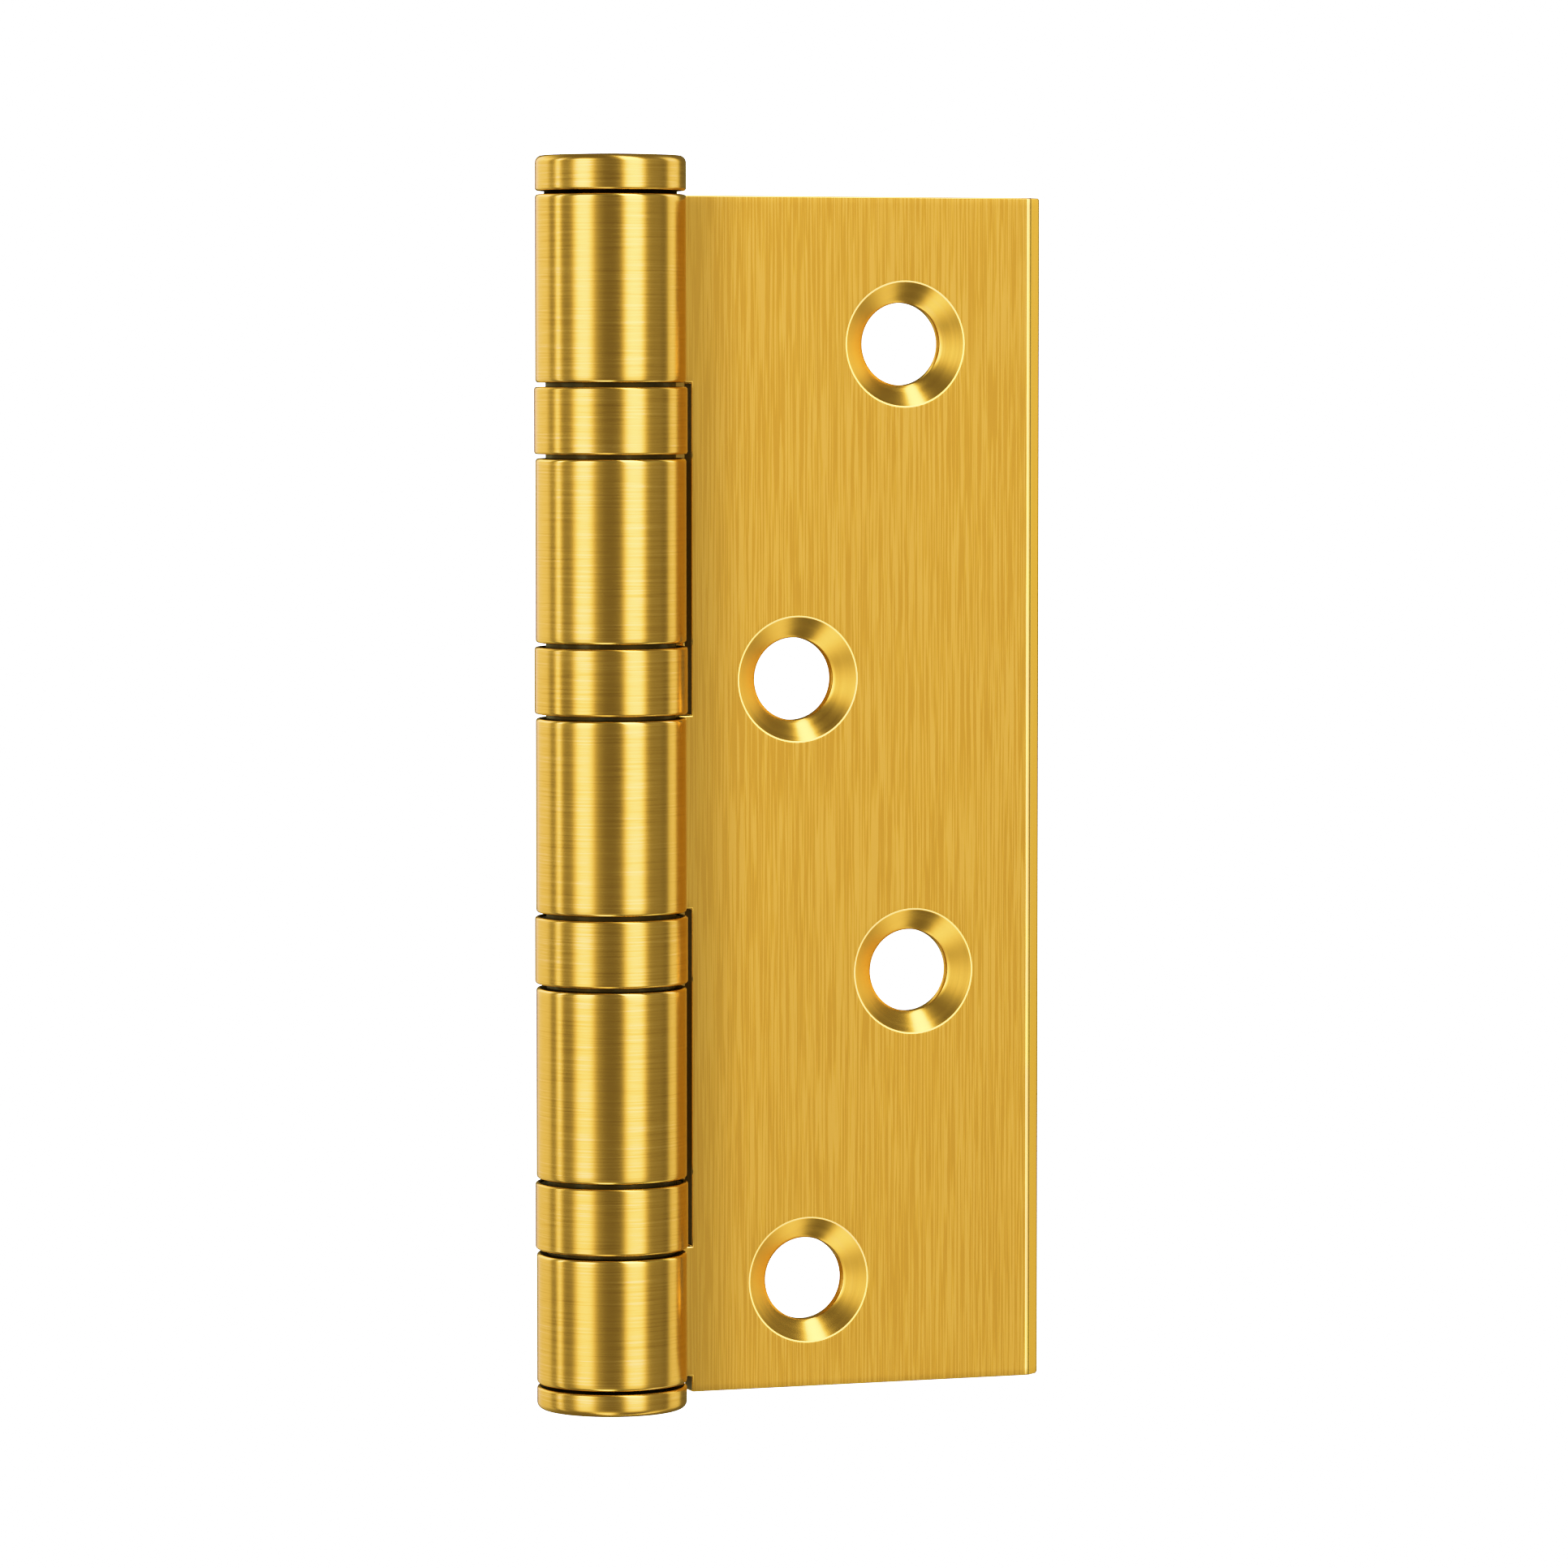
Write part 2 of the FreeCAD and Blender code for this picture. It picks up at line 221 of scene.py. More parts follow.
@dataclass(frozen=True)
class BrushedGold:
    """Gold-coloured coat on stainless steel, brushed along the first two lengths of the grain.

    Fine scratches, wider streaks and slow drifts of tone are noises stretched along the brushing;
    they move the colour between a deep and a pale gold, and change gloss and relief.
    """

    name: str
    roughness: float = 0.26
    fine: float = 1.0  # how far the scratches, the streaks and the drifts move the colour
    wide: float = 0.8
    slow: float = 0.5
    scratch_mm: float = 0.16  # width of a scratch and of a streak
    streak_mm: float = 0.6
    length_mm: float = 9.0  # length of a scratch
    relief: float = 0.35
    gloss_drift: float = 0.12
    lacquer: float = 0.45
    depth: float = 1.0  # the coat's own tone: below 1 is a deeper gold
    painted_shade_mm: float = 0.0  # painted shade: the coat darkens from this third length of the grain in to its half

    def material(self) -> Material:
        """Build the node material."""
        g = Graph(self.name)
        grain = g.node("ShaderNodeAttribute", {"attribute_name": GRAIN}, {}).outputs["Vector"]
        along = 1.0 / self.length_mm
        fine = g.noise(g.scaled(grain, (along, along, 1.0 / self.scratch_mm)), 0.5, 3.0)
        wide = g.noise(g.scaled(grain, (along / 2, along / 2, 1.0 / self.streak_mm)), 0.5, 2.0)
        slow = g.noise(g.scaled(grain, (0.03, 0.03, 0.10)), 1.0, 2.0)
        tone = (fine - 0.5) * self.fine + (wide - 0.5) * self.wide + (slow - 0.5) * self.slow + 0.5
        deep, middle, pale = (
            tuple(part * self.depth ** power for part, power in zip(colour, (1.0, 1.2, 2.5)))
            for colour in (GOLD_DEEP, GOLD, GOLD_PALE)
        )
        colour = g.mix(tone.between(0.5, 1.0), g.mix(tone.between(0.0, 0.5), deep, middle), pale)
        # Painted shade: the sheet darkens towards the pin, where the barrel shades it.
        if self.painted_shade_mm:
            across = Num(g, g.node("ShaderNodeSeparateXYZ", {}, {0: grain}).outputs[2])
            unshaded_share = across.between(self.painted_shade_mm / 2, self.painted_shade_mm) * 0.55 + 0.45
            colour = g.mix(unshaded_share, PAINTED_SHADE_GOLD, colour)
        gloss = (fine - 0.5) * self.gloss_drift + (slow - 0.5) * 0.08 + self.roughness
        return g.finish(colour, gloss, fine * 0.7 + wide * 0.3, self.relief, 6e-6,
                        {**LACQUER, "Coat Weight": self.lacquer})


def turned_gold(name: str) -> BrushedGold:
    """Finish of the knuckles, rings and tips, brushed round the barrel."""
    return BrushedGold(name, roughness=0.22, fine=2.0, wide=0.2, slow=0.4, scratch_mm=0.07,
                       length_mm=3.0, lacquer=0.6)


@dataclass(frozen=True)
class PolishedGold:
    """Broken edges that the brush polished bright, with faint handling marks."""

    name: str
    roughness: float = 0.16

    def material(self) -> Material:
        """Build the node material."""
        g = Graph(self.name)
        place = g.place()
        marks = g.noise(place, 900.0, 3.0)
        wear = g.noise(place, 160.0, 2.0)
        colour = g.mix(wear.between(0.35, 0.7), GOLD_PALE, (1.0, 0.68, 0.17))
        return g.finish(colour, (marks - 0.5) * 0.12 + self.roughness, marks, 0.1, 4e-6,
                        {**LACQUER, "Coat Weight": 0.45})


@dataclass(frozen=True)
class PaintedShadeGold:
    """Painted shade: near-black gold put in the grooves between the pieces of the barrel, with a mottled tone."""

    name: str
    roughness: float = 0.5

    def material(self) -> Material:
        """Build the node material."""
        g = Graph(self.name)
        place = g.place()
        mottle = g.noise(place, 700.0, 3.0)
        colour = g.mix(mottle.between(0.3, 0.7), (0.035, 0.022, 0.010), (0.09, 0.052, 0.016))
        return g.finish(colour, (mottle - 0.5) * 0.2 + self.roughness, mottle, 0.2, 5e-6, {})


@dataclass(frozen=True)
class InnerMetal:
    """Steel or brass of a part inside the barrel: turned, or ground, with a little grease."""

    name: str
    colour: Colour
    grease: Colour
    roughness: float
    greased: float  # share of the surface under grease
    rings_per_mm: float = 5.0

    def material(self) -> Material:
        """Build the node material."""
        g = Graph(self.name)
        place = g.place()
        turned = g.noise(g.scaled(place, (60.0, 60.0, 1000.0 * self.rings_per_mm)), 1.0, 3.0)
        blotch = g.noise(place, 420.0, 4.0)
        wet = blotch.between(0.75 - self.greased, 0.85 - self.greased)
        colour = g.mix(wet, self.colour, self.grease)
        gloss = (turned - 0.5) * 0.2 + wet * 0.1 + self.roughness
        return g.finish(colour, gloss, turned * 0.6 + blotch * 0.4, 0.25, 8e-6, {})


class Slot(Enum):
    """Places on a leaf that have their own material, in the order of the materials."""

    SHEET = 0
    KNUCKLE = 1
    SINK = 2
    EDGE = 3
    # Knuckle ends and the notch's rims, in painted shade.
    GROOVE = 4
    BEVEL = 5


# ---- outlines and meshes ----
def arc(centre: Pair, radius: float, start: float, end: float, steps: int) -> Array:
    """Points on a circle: centre + radius * (cos a, sin a), for angles a from start to end.

    Args:
        centre: the circle's centre.
        radius: its radius.
        start: first angle, in degrees.
        end: last angle, in degrees.
        steps: number of chords.

    Returns:
        steps + 1 points.
    """
    angle = np.radians(np.linspace(start, end, steps + 1))
    return np.stack([centre[0] + radius * np.cos(angle), centre[1] + radius * np.sin(angle)], axis=1)


def rounded(corners: list[tuple[float, float, float]], steps: int) -> Array:
    """Outline through (radius, height, round) corners, each replaced by its tangent arc.

    A corner with a round of 0 stays a point. An arc's centre stands on the corner's bisector.

    Args:
        corners: the outline's corners in order.
        steps: chords in each arc.

    Returns:
        The outline's points.
    """
    spots = [np.array(corner[:2]) for corner in corners]
    points = [spots[0][None]]
    for before, here, after, (_, _, radius) in zip(spots, spots[1:], spots[2:], corners[1:]):
        if not radius:
            points.append(here[None])
            continue
        back, ahead = (way / np.linalg.norm(way) for way in (before - here, after - here))
        half = math.acos(float(np.clip(back @ ahead, -1, 1))) / 2
        centre = here + (back + ahead) / np.linalg.norm(back + ahead) * radius / math.sin(half)
        tangents = (here + way * radius / math.tan(half) - centre for way in (back, ahead))
        start, end = (math.degrees(math.atan2(y, x)) for x, y in tangents)
        turn = (end - start + 180) % 360 - 180
        points.append(arc(tuple(centre), radius, start, start + turn, steps))
    return np.concatenate([*points, spots[-1][None]])


@dataclass(frozen=True)
class Place:
    """How a drawing about the pin stands in the frame.

    Mirroring swaps +Y and -Y, then the drawing turns about the pin, then it moves to the pin.
    """

    pin: Vector
    mirrored: bool = False
    turn: float = 0.0  # degrees, anticlockwise seen from above

    def points(self, drawn: Array) -> Array:
        """Carry points in millimetres into the frame, in metres."""
        x, y, z = drawn[:, 0], drawn[:, 1] * (-1.0 if self.mirrored else 1.0), drawn[:, 2]
        c, s = math.cos(math.radians(self.turn)), math.sin(math.radians(self.turn))
        turned = np.stack([c * x - s * y, s * x + c * y, z], axis=1) * MM
        return turned + np.array([self.pin.x, self.pin.y, 0.0])


@dataclass
class Shape:
    """Points, four-cornered faces, material places and grain of one piece, about the pin."""

    points: Array  # (n, 3), mm
    faces: Array  # (m, 4), a triangle repeats its last corner
    slots: Array  # (m,)
    grain: Array  # (m, 4, 3)

    def build(self, name: str, place: Place, materials: list[Material]) -> Piece:
        """Make the mesh object, smooth-shaded, in the frame.

        Args:
            name: the piece's name.
            place: how the drawing stands in the frame.
            materials: the materials, in the order of the slots.

        Returns:
            The new object, at the origin, with its place in its mesh.
        """
        used, faces = np.unique(self.faces, return_inverse=True)
        faces = faces.reshape(self.faces.shape)
        grain = self.grain
        if place.mirrored:
            faces, grain = faces[:, ::-1], grain[:, ::-1]
        keep = faces != np.roll(faces, -1, axis=1)
        sizes = keep.sum(axis=1)
        points = place.points(self.points[used])
        mesh = bpy.data.meshes.new(name)
        mesh.vertices.add(len(points))
        mesh.vertices.foreach_set("co", points.astype(np.float32).ravel())
        mesh.loops.add(int(sizes.sum()))
        mesh.loops.foreach_set("vertex_index", faces[keep].astype(np.int32))
        mesh.polygons.add(len(faces))
        mesh.polygons.foreach_set("loop_start", (np.cumsum(sizes) - sizes).astype(np.int32))
        mesh.polygons.foreach_set("material_index", self.slots.astype(np.int32))
        mesh.update(calc_edges=True)
        mesh.validate()
        attribute = mesh.attributes.new(GRAIN, "FLOAT_VECTOR", "CORNER")
        attribute.data.foreach_set("vector", grain[keep].astype(np.float32).ravel())
        mesh.shade_smooth()
        for material in materials:
            mesh.materials.append(material)
        piece = bpy.data.objects.new(name, mesh)
        bpy.context.scene.collection.objects.link(piece)
        return piece


def mount(piece: Piece, body: str, node: str) -> Piece:
    """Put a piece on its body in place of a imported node.

    Its wide faces set the normals, so that flats stay flat beside their small rounds.

    Args:
        piece: the finished mesh object.
        body: the body that it rides on.
        node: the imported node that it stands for.

    Returns:
        The piece.
    """
    weighted = piece.modifiers.new("even_normals", "WEIGHTED_NORMAL")
    weighted.mode = "FACE_AREA"
    weighted.weight = 60
    weighted.keep_sharp = True
    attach(piece, body)
    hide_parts(node)
    return piece


# ---- sizes taken from the frame ----
LOWEST_KNUCKLE_MM = -48.65  # underside of the lowest knuckle


@dataclass(frozen=True)
class Barrel:
    """Where the pin, the knuckles and the bearings stand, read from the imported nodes."""

    pin: Vector
    radius_mm: float
    shells: list[Pair]  # (bottom, top) of each bearing's shell, mm
    knuckles: list[Pair]  # (bottom, top) of each knuckle from the top down, mm

    @staticmethod
    def read() -> "Barrel":
        """Measure the nodes' boxes."""
        low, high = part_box("top_tip")
        pin = Vector(((low.x + high.x) / 2, (low.y + high.y) / 2, 0.0))
        radius = (high.x - low.x) / 2 / MM
        shells = []
        faces = [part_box("fixed_leaf")[1].z / MM]
        for number in range(1, 5):
            shell_low, shell_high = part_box(f"bearing_{number}_shell")
            shells.append((shell_low.z / MM, shell_high.z / MM))
            faces.append(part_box(f"bearing_{number}_upper_race")[1].z / MM)
            faces.append(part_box(f"bearing_{number}_lower_race")[0].z / MM)
        faces.append(LOWEST_KNUCKLE_MM)
        knuckles = [(faces[k + 1], faces[k]) for k in range(0, len(faces), 2)]
        return Barrel(pin, radius, shells, knuckles)


STUB_COLUMNS = 2  # flat columns between the bend and the notch
SHARP_DEG = 35.0  # least angle between the normals at an edge that is broken
CRISP_DEG = 12.0  # least angle at an edge that stays crisp, as beside a polished strip


# ---- leaves ----
@dataclass
class CurledLeaf:
    """One leaf: a sheet with countersunk holes whose knuckles are curled round the barrel.

    The sheet is a grid of columns, from the curl's end round the barrel and out to the free
    edge, and of rows up the leaf. It has a face side and a back side, and rims where it ends.
    """

    node: str
    body: str
    barrel: Barrel
    own_knuckles: list[Pair]
    place: Place
    sheet: float = 2.0
    face_y: float = 1.0  # from the pin's axis to the countersunk face
    reach: float = 38.9  # from the pin's axis to the free edge
    edge_land: float = 0.38  # polished strip where the flat ends
    land_tilt: float = 4.0  # degrees from the face
    edge_bevel: float = 1.18  # length of the bevel beside it
    bevel_tilt: float = 39.5  # degrees from the face
    edge_round: float = 0.9  # round from the bevel to the edge face
    corner_round: float = 0.4
    notch_x: float = 7.4
    bend: float = 2.2  # mid-sheet radius of the bend beside the curl
    seam: float = 0.15
    half_height: float = 50.0
    # Holes from the bottom up: (from the pin's axis, up).
    holes: tuple[Pair, ...] = ((17.74, -40.98), (27.12, -15.16), (16.78, 9.65), (26.34, 37.68))
    hole_r: float = 3.45
    sink_r: float = 5.2
    sink_depth: float = 1.15
    sink_land: float = 0.13  # polished strip round the countersink's mouth
    land_drop: float = 0.012
    hole_block: float = 6.4  # half the side of the square that a hole is drawn in
    block_steps: int = 20
    knuckle_round: float = 0.25
    edge_break: float = 0.09
    curl_steps: int = 110
    bend_steps: int = 8
    round_steps: int = 10

    @property
    def cell(self) -> float:
        """Side of a face in a hole's square."""
        return 2 * self.hole_block / self.block_steps

    @property
    def back_y(self) -> float:
        """From the pin's axis to the leaf's back."""
        return self.face_y + self.sheet

    def section(self) -> tuple[Array, Array, Array]:
        """Section of the curl and the bend, in columns from the curl's end to the leaf's notch.

        The curl is two arcs about the pin, the bend two arcs about a centre behind the leaf that
        is one barrel wall plus one bend radius away from the pin, and a short flat follows.

        Returns:
            Face-side points, back-side points and the length along the sheet, in mm.
        """
        outer = self.barrel.radius_mm
        centre_y = self.face_y + self.sheet / 2 + self.bend
        centre_x = math.sqrt((outer - self.sheet / 2 + self.bend) ** 2 - centre_y ** 2)
        meet = math.degrees(math.atan2(centre_y, centre_x))
        stub = np.linspace(centre_x, self.notch_x, STUB_COLUMNS + 1)

        def side(curl_r: float, bend_r: float, flat_y: float) -> Array:
            """Points of one side: curl, bend and short flat."""
            lip = 360 + math.degrees(math.asin((self.face_y - self.seam) / curl_r))
            return np.concatenate([
                arc((0, 0), curl_r, lip, meet, self.curl_steps),
                arc((centre_x, centre_y), bend_r, 180 + meet, 270, self.bend_steps)[1:],
                np.stack([stub, np.full(len(stub), flat_y)], axis=1)[1:],
            ])

        face = side(outer - self.sheet, self.bend + self.sheet / 2, self.face_y)
        back = side(outer, self.bend - self.sheet / 2, self.back_y)
        middle = (face + back) / 2
        steps = np.linalg.norm(np.diff(middle, axis=0), axis=1)
        return face, back, np.concatenate([[0.0], np.cumsum(steps)])

    def free_edge(self) -> Array:
        """Section of the free edge, from (0, 0) where the flat face ends to the edge face.

        A strip tilted by a few degrees, a straight bevel, and an arc tangent to it and to the
        edge face: its angle runs from the bevel's tilt to 90 degrees.

        Returns:
            (along the leaf, into the sheet) points, in mm.
        """
        def step(length: float, tilt: float) -> Array:
            """A step of a length in a direction, in degrees from the face."""
            return length * np.array([math.cos(math.radians(tilt)), math.sin(math.radians(tilt))])

        land = step(self.edge_land, self.land_tilt)
        bevel = land + step(self.edge_bevel, self.bevel_tilt)
        centre = bevel + step(self.edge_round, self.bevel_tilt + 90)
        last = arc(tuple(centre), self.edge_round, self.bevel_tilt - 90, 0, self.round_steps)
        return np.concatenate([[[0.0, 0.0], land], last])

    def rows(self) -> tuple[Array, list[int]]:
        """Heights of the rows at the holes, and the first row of each hole's square."""
        knots = [z + side * self.hole_block for _, z in self.holes for side in (-1, 1)]
        knots = np.array([-self.half_height, *knots, self.half_height])
        counts = np.maximum(2, np.rint(np.diff(knots) / self.cell)).astype(int)
        last = np.cumsum(counts)
        return np.interp(np.arange(last[-1] + 1), [0, *last], knots), last[:-1:2].tolist()

    def notch_rows(self, heights: Array) -> tuple[Array, list[tuple[int, int]]]:
        """Heights of the same rows at the notch, bent so that a row lies on each knuckle's end.

        Args:
            heights: the rows' heights at the holes.

        Returns:
            The bent heights, and the (first, last) row of each own knuckle.
        """
        ends = sorted({-self.half_height, self.half_height, *(z for pair in self.own_knuckles for z in pair)})
        places = [int(np.abs(heights - z).argmin()) for z in ends]
        bent = np.interp(np.arange(len(heights)), places, ends)
        found = dict(zip(ends, places))
        return bent, [(found[low], found[high]) for low, high in self.own_knuckles]

    def plate_columns(self, row_count: int, starts: list[int]) -> tuple[Array, list[int]]:
        """Distance of each plate column from the pin, row by row.

        Each hole's rows hold a set of columns whose squares fit that hole; the rows between two
        holes blend the two sets.

        Args:
            row_count: number of rows.
            starts: the first row of each hole's square.

        Returns:
            An array of columns by rows, and the first column of each hole's square.
        """
        flat = self.reach - float(self.free_edge()[-1, 0])
        count = round((flat - self.notch_x) / self.cell)
        sets, firsts = [], []
        for x, _ in self.holes:
            first = round((x - self.hole_block - self.notch_x) / self.cell)
            firsts.append(first)
            sets.append(np.interp(
                np.arange(count + 1),
                [0, first, first + self.block_steps, count],
                [self.notch_x, x - self.hole_block, x + self.hole_block, flat],
            ))
        knots = np.add.outer(starts, [0, self.block_steps]).ravel()
        table = np.repeat(sets, 2, axis=0).T
        return np.stack([np.interp(np.arange(row_count), knots, column) for column in table]), firsts

    def shape(self) -> Shape:
        """The whole leaf about the pin, closed.

        Returns:
            The shape, with the sheet, knuckle and countersink faces in their slots.
        """
        face_curl, back_curl, length = self.section()
        heights, starts = self.rows()
        bent, knuckle_rows = self.notch_rows(heights)
        row_count, notch = len(heights), len(face_curl) - 1
        plate_x, firsts = self.plate_columns(row_count, starts)
        edge = self.free_edge()
        turn = edge[1:] + np.array([self.reach - edge[-1, 0], self.face_y])

        def sheet_side(curl: Array, edge_y: Array) -> Array:
            """Grid of points of one side, columns by rows."""
            level = np.ones(row_count)
            x = np.concatenate([curl[:, :1] * level, plate_x[1:], turn[:, :1] * level])
            flat_y = np.full(len(plate_x) - 1, curl[-1, 1])
            y = np.concatenate([curl[:, 1], flat_y, edge_y])[:, None] * level
            ease = np.clip((x - self.notch_x) / (min(firsts) * 0.6), 0, 1)
            z = bent * (1 - ease) + heights * ease
            past = np.clip(x - (self.reach - self.corner_round), 0, self.corner_round)
            drop = self.corner_round - np.sqrt(self.corner_round ** 2 - past ** 2)
            z = z * (1 - drop / self.half_height)
            return np.stack([x, y, z], axis=2)

        face_side = sheet_side(face_curl, turn[:, 1])
        back_side = sheet_side(back_curl, np.full(len(turn), self.back_y))
        column_count = len(face_side)
        points = [face_side.reshape(-1, 3), back_side.reshape(-1, 3)]
        face_id = np.arange(column_count * row_count).reshape(column_count, row_count)
        back_id = face_id + face_id.size
        ids = (face_id, back_id)

        # Cells of the sheet: the plate, and the curl where this leaf has a knuckle.
        solid = np.ones((column_count - 1, row_count - 1), bool)
        solid[:notch] = False
        for low, high in knuckle_rows:
            solid[:notch, low:high] = True
        shown = solid.copy()
        for first, start in zip(firsts, starts):
            shown[notch + first:notch + first + self.block_steps, start:start + self.block_steps] = False
        i, j = np.nonzero(shown)
        front = np.stack([face_id[i, j], face_id[i + 1, j], face_id[i + 1, j + 1], face_id[i, j + 1]], axis=1)
        rear = front[:, ::-1] + face_id.size
        rear_columns = np.full(column_count - 1, Slot.SHEET.value)
        rear_columns[:notch - STUB_COLUMNS] = Slot.KNUCKLE.value
        columns = rear_columns.copy()
        columns[-len(turn):] = Slot.BEVEL.value
        columns[-len(turn)] = Slot.EDGE.value

        # Rims: one face between the two sides wherever a solid cell has no solid neighbour.
        padded = np.pad(solid, 1)
        rims, rim_slots = [], []
        for di, dj, p, q, r, s in (
            (-1, 0, 0, 0, 0, 1), (1, 0, 1, 1, 1, 0), (0, -1, 1, 0, 0, 0), (0, 1, 0, 1, 1, 1),
        ):
            neighbour = np.roll(padded, (-di, -dj), (0, 1))[1:-1, 1:-1]
            a, b = np.nonzero(solid & ~neighbour)
            start, end = (a + p, b + q), (a + r, b + s)
            rims.append(np.stack([face_id[start], face_id[end], back_id[end], back_id[start]], axis=1))
            # Rims at the knuckles' ends and at the notch get the painted shade of the grooves.
            hidden = (a < notch) & (dj != 0) | (a == notch) & (di == -1)
            rim_slots.append(np.where(hidden, Slot.GROOVE.value, Slot.EDGE.value))

        faces = [front, rear, *rims]
        slots = [columns[i], rear_columns[i], *rim_slots]
        total = 2 * face_id.size
        for number, (first, start) in enumerate(zip(firsts, starts)):
            made = self.hole(number, notch + first, start, ids, (face_side, back_side), total)
            for parts, part in zip((points, faces, slots), made):
                parts.append(part)
            total += len(made[0])
        points, faces, slots = (np.concatenate(parts) for parts in (points, faces, slots))
        return Shape(points, faces, slots, self.grain(points, faces, slots, length, ids))

    def hole(self, number: int, column: int, row: int, ids: tuple[Array, Array],
             sides: tuple[Array, Array], first_id: int) -> tuple[Array, Array, Array]:
        """Rings from the square round a hole, down the countersink, to the square on the back.

        Each ring has one point for each point of the square. The rings are circles of radius r at
        depth y down the cone and the hole, and blends between the squares and those circles.

        Args:
            number: which hole.
            column: first column of its square.
            row: first row of its square.
            ids: point numbers of the face side and the back side, columns by rows.
            sides: points of the two sides.
            first_id: number of the next free point.

        Returns:
            New points, faces and their slots.
        """
        x, z = self.holes[number]
        n = self.block_steps
        run, zero, full = np.arange(n), np.zeros(n, int), np.full(n, n)
        around = column + np.concatenate([run, full, n - run, zero]), row + np.concatenate([zero, run, full, n - run])
        angle = np.radians(225.0 + 90.0 / n * np.arange(4 * n))

        def circle(radius: float, y: float) -> Array:
            """Ring of points at one radius and depth."""
            return np.stack([x + radius * np.cos(angle), np.full(4 * n, y), z + radius * np.sin(angle)], axis=1)

        square_face, square_back = (side[around] for side in sides)
        foot_y = self.face_y + self.sink_depth
        cone = np.linspace(0, 1, 7)[1:]
        mouth = circle(self.sink_r + self.sink_land, self.face_y)
        mouth_y = self.face_y + self.land_drop
        rings = [
            (square_face * 0.55 + mouth * 0.45, Slot.SHEET),
            (square_face * 0.15 + mouth * 0.85, Slot.SHEET),
            (mouth, Slot.SHEET),
            (circle(self.sink_r, mouth_y), Slot.EDGE),
            *[(circle(self.sink_r + (self.hole_r - self.sink_r) * t,
                      mouth_y + (foot_y - mouth_y) * t), Slot.SINK) for t in cone],
            (circle(self.hole_r, self.back_y), Slot.SINK),
            (square_back * 0.5 + circle(self.hole_r, self.back_y) * 0.5, Slot.SHEET),
        ]
        ring_ids = first_id + np.arange(4 * n * len(rings)).reshape(len(rings), 4 * n)
        loops = [ids[0][around], *ring_ids, ids[1][around]]
        faces = [
            np.stack([outer, np.roll(outer, -1), np.roll(inner, -1), inner], axis=1)
            for outer, inner in zip(loops, loops[1:])
        ]
        slots = np.repeat([slot.value for _, slot in rings] + [Slot.SHEET.value], 4 * n)
        return np.concatenate([ring for ring, _ in rings]), np.concatenate(faces), slots

    def grain(self, points: Array, faces: Array, slots: Array, length: Array,
              ids: tuple[Array, Array]) -> Array:
        """Grain of every face corner.

        On the sheet the brushing runs up the leaf, on a knuckle round the pin, and in a
        countersink round the hole's own axis. Offsets keep the three patterns apart.

        Args:
            points: all points.
            faces: all faces.
            slots: the faces' slots.
            length: length along the sheet at each column of the curl.
            ids: point numbers of the face side and the back side, columns by rows.

        Returns:
            (faces, 4, 3) lengths in mm.
        """
        x, y, z = points.T
        sheet = np.stack([z, y * 0.2, x], axis=1)
        along = np.zeros(len(points))
        for side in ids:
            along[side[:len(length)]] = length[:, None]
        knuckle = np.stack([along, np.zeros(len(points)), z + 300.0], axis=1)
        holes = np.array(self.holes)
        nearest = np.argmin(np.hypot(x[:, None] - holes[:, 0], z[:, None] - holes[:, 1]), axis=1)
        dx, dz = x - holes[nearest, 0], z - holes[nearest, 1]
        sink = np.stack([dx, dz + 40.0 * nearest, np.hypot(dx, dz) + y + 600.0], axis=1)
        table = np.stack([sheet, knuckle, sink, sheet, sheet, sheet])
        return table[slots[:, None], faces]

    def weigh_edges(self, piece: Piece) -> None:
        """Give each sharp edge a bevel weight: 1 on a knuckle's outer end, and less elsewhere.

        Args:
            piece: the leaf.
        """
        def read(items: bpy.types.bpy_prop_collection, key: str, kind: type, width: int = 1) -> Array:
            """One property of all items, a row for each."""
            values = np.zeros(len(items) * width, kind)
            items.foreach_get(key, values)
            return values.reshape(-1, width)

        mesh = piece.data
        normals = read(mesh.polygons, "normal", np.float32, 3)
        totals = read(mesh.polygons, "loop_total", np.int32)[:, 0]
        loop_face = np.repeat(np.arange(len(totals)), totals)
        order = np.argsort(read(mesh.loops, "edge_index", np.int32)[:, 0], kind="stable")
        pairs = loop_face[order].reshape(-1, 2)
        cosine = np.einsum("ij,ij->i", normals[pairs[:, 0]], normals[pairs[:, 1]])
        sharp = cosine < math.cos(math.radians(SHARP_DEG))
        crisp = (cosine < math.cos(math.radians(CRISP_DEG))) & ~sharp
        ends = read(mesh.edges, "vertices", np.int32, 2)
        co = read(mesh.vertices, "co", np.float32, 3)
        radius = np.hypot(co[:, 0] - self.place.pin.x, co[:, 1] - self.place.pin.y) / MM
        on_barrel = np.abs(radius[ends] - self.barrel.radius_mm + 0.01).max(axis=1) < 0.05
        level = np.abs(np.diff(co[ends, 2], axis=1)[:, 0]) < 1e-6
        small = self.edge_break / self.knuckle_round
        weights = np.where(sharp, np.where(on_barrel & level, 1.0, small), 0.0).astype(np.float32)
        mesh.attributes.new("bevel_weight_edge", "FLOAT", "EDGE").data.foreach_set("value", weights)
        mesh.attributes.new("sharp_edge", "BOOLEAN", "EDGE").data.foreach_set("value", crisp)

    def build(self, materials: list[Material], slot: str) -> Piece:
        """Make the leaf, break its edges and put it on its body.

        Args:
            materials: one for each slot, in order.
            slot: the record's material slot; not used.

        Returns:
            The piece.
        """
        piece = self.shape().build(self.node + "_brushed", self.place, materials)
        self.weigh_edges(piece)
        bevel = piece.modifiers.new("broken_edges", "BEVEL")
        bevel.limit_method = "WEIGHT"
        bevel.width = self.knuckle_round * MM
        bevel.segments = 3
        bevel.material = Slot.EDGE.value
        bevel.use_clamp_overlap = False
        return mount(piece, self.body, self.node)


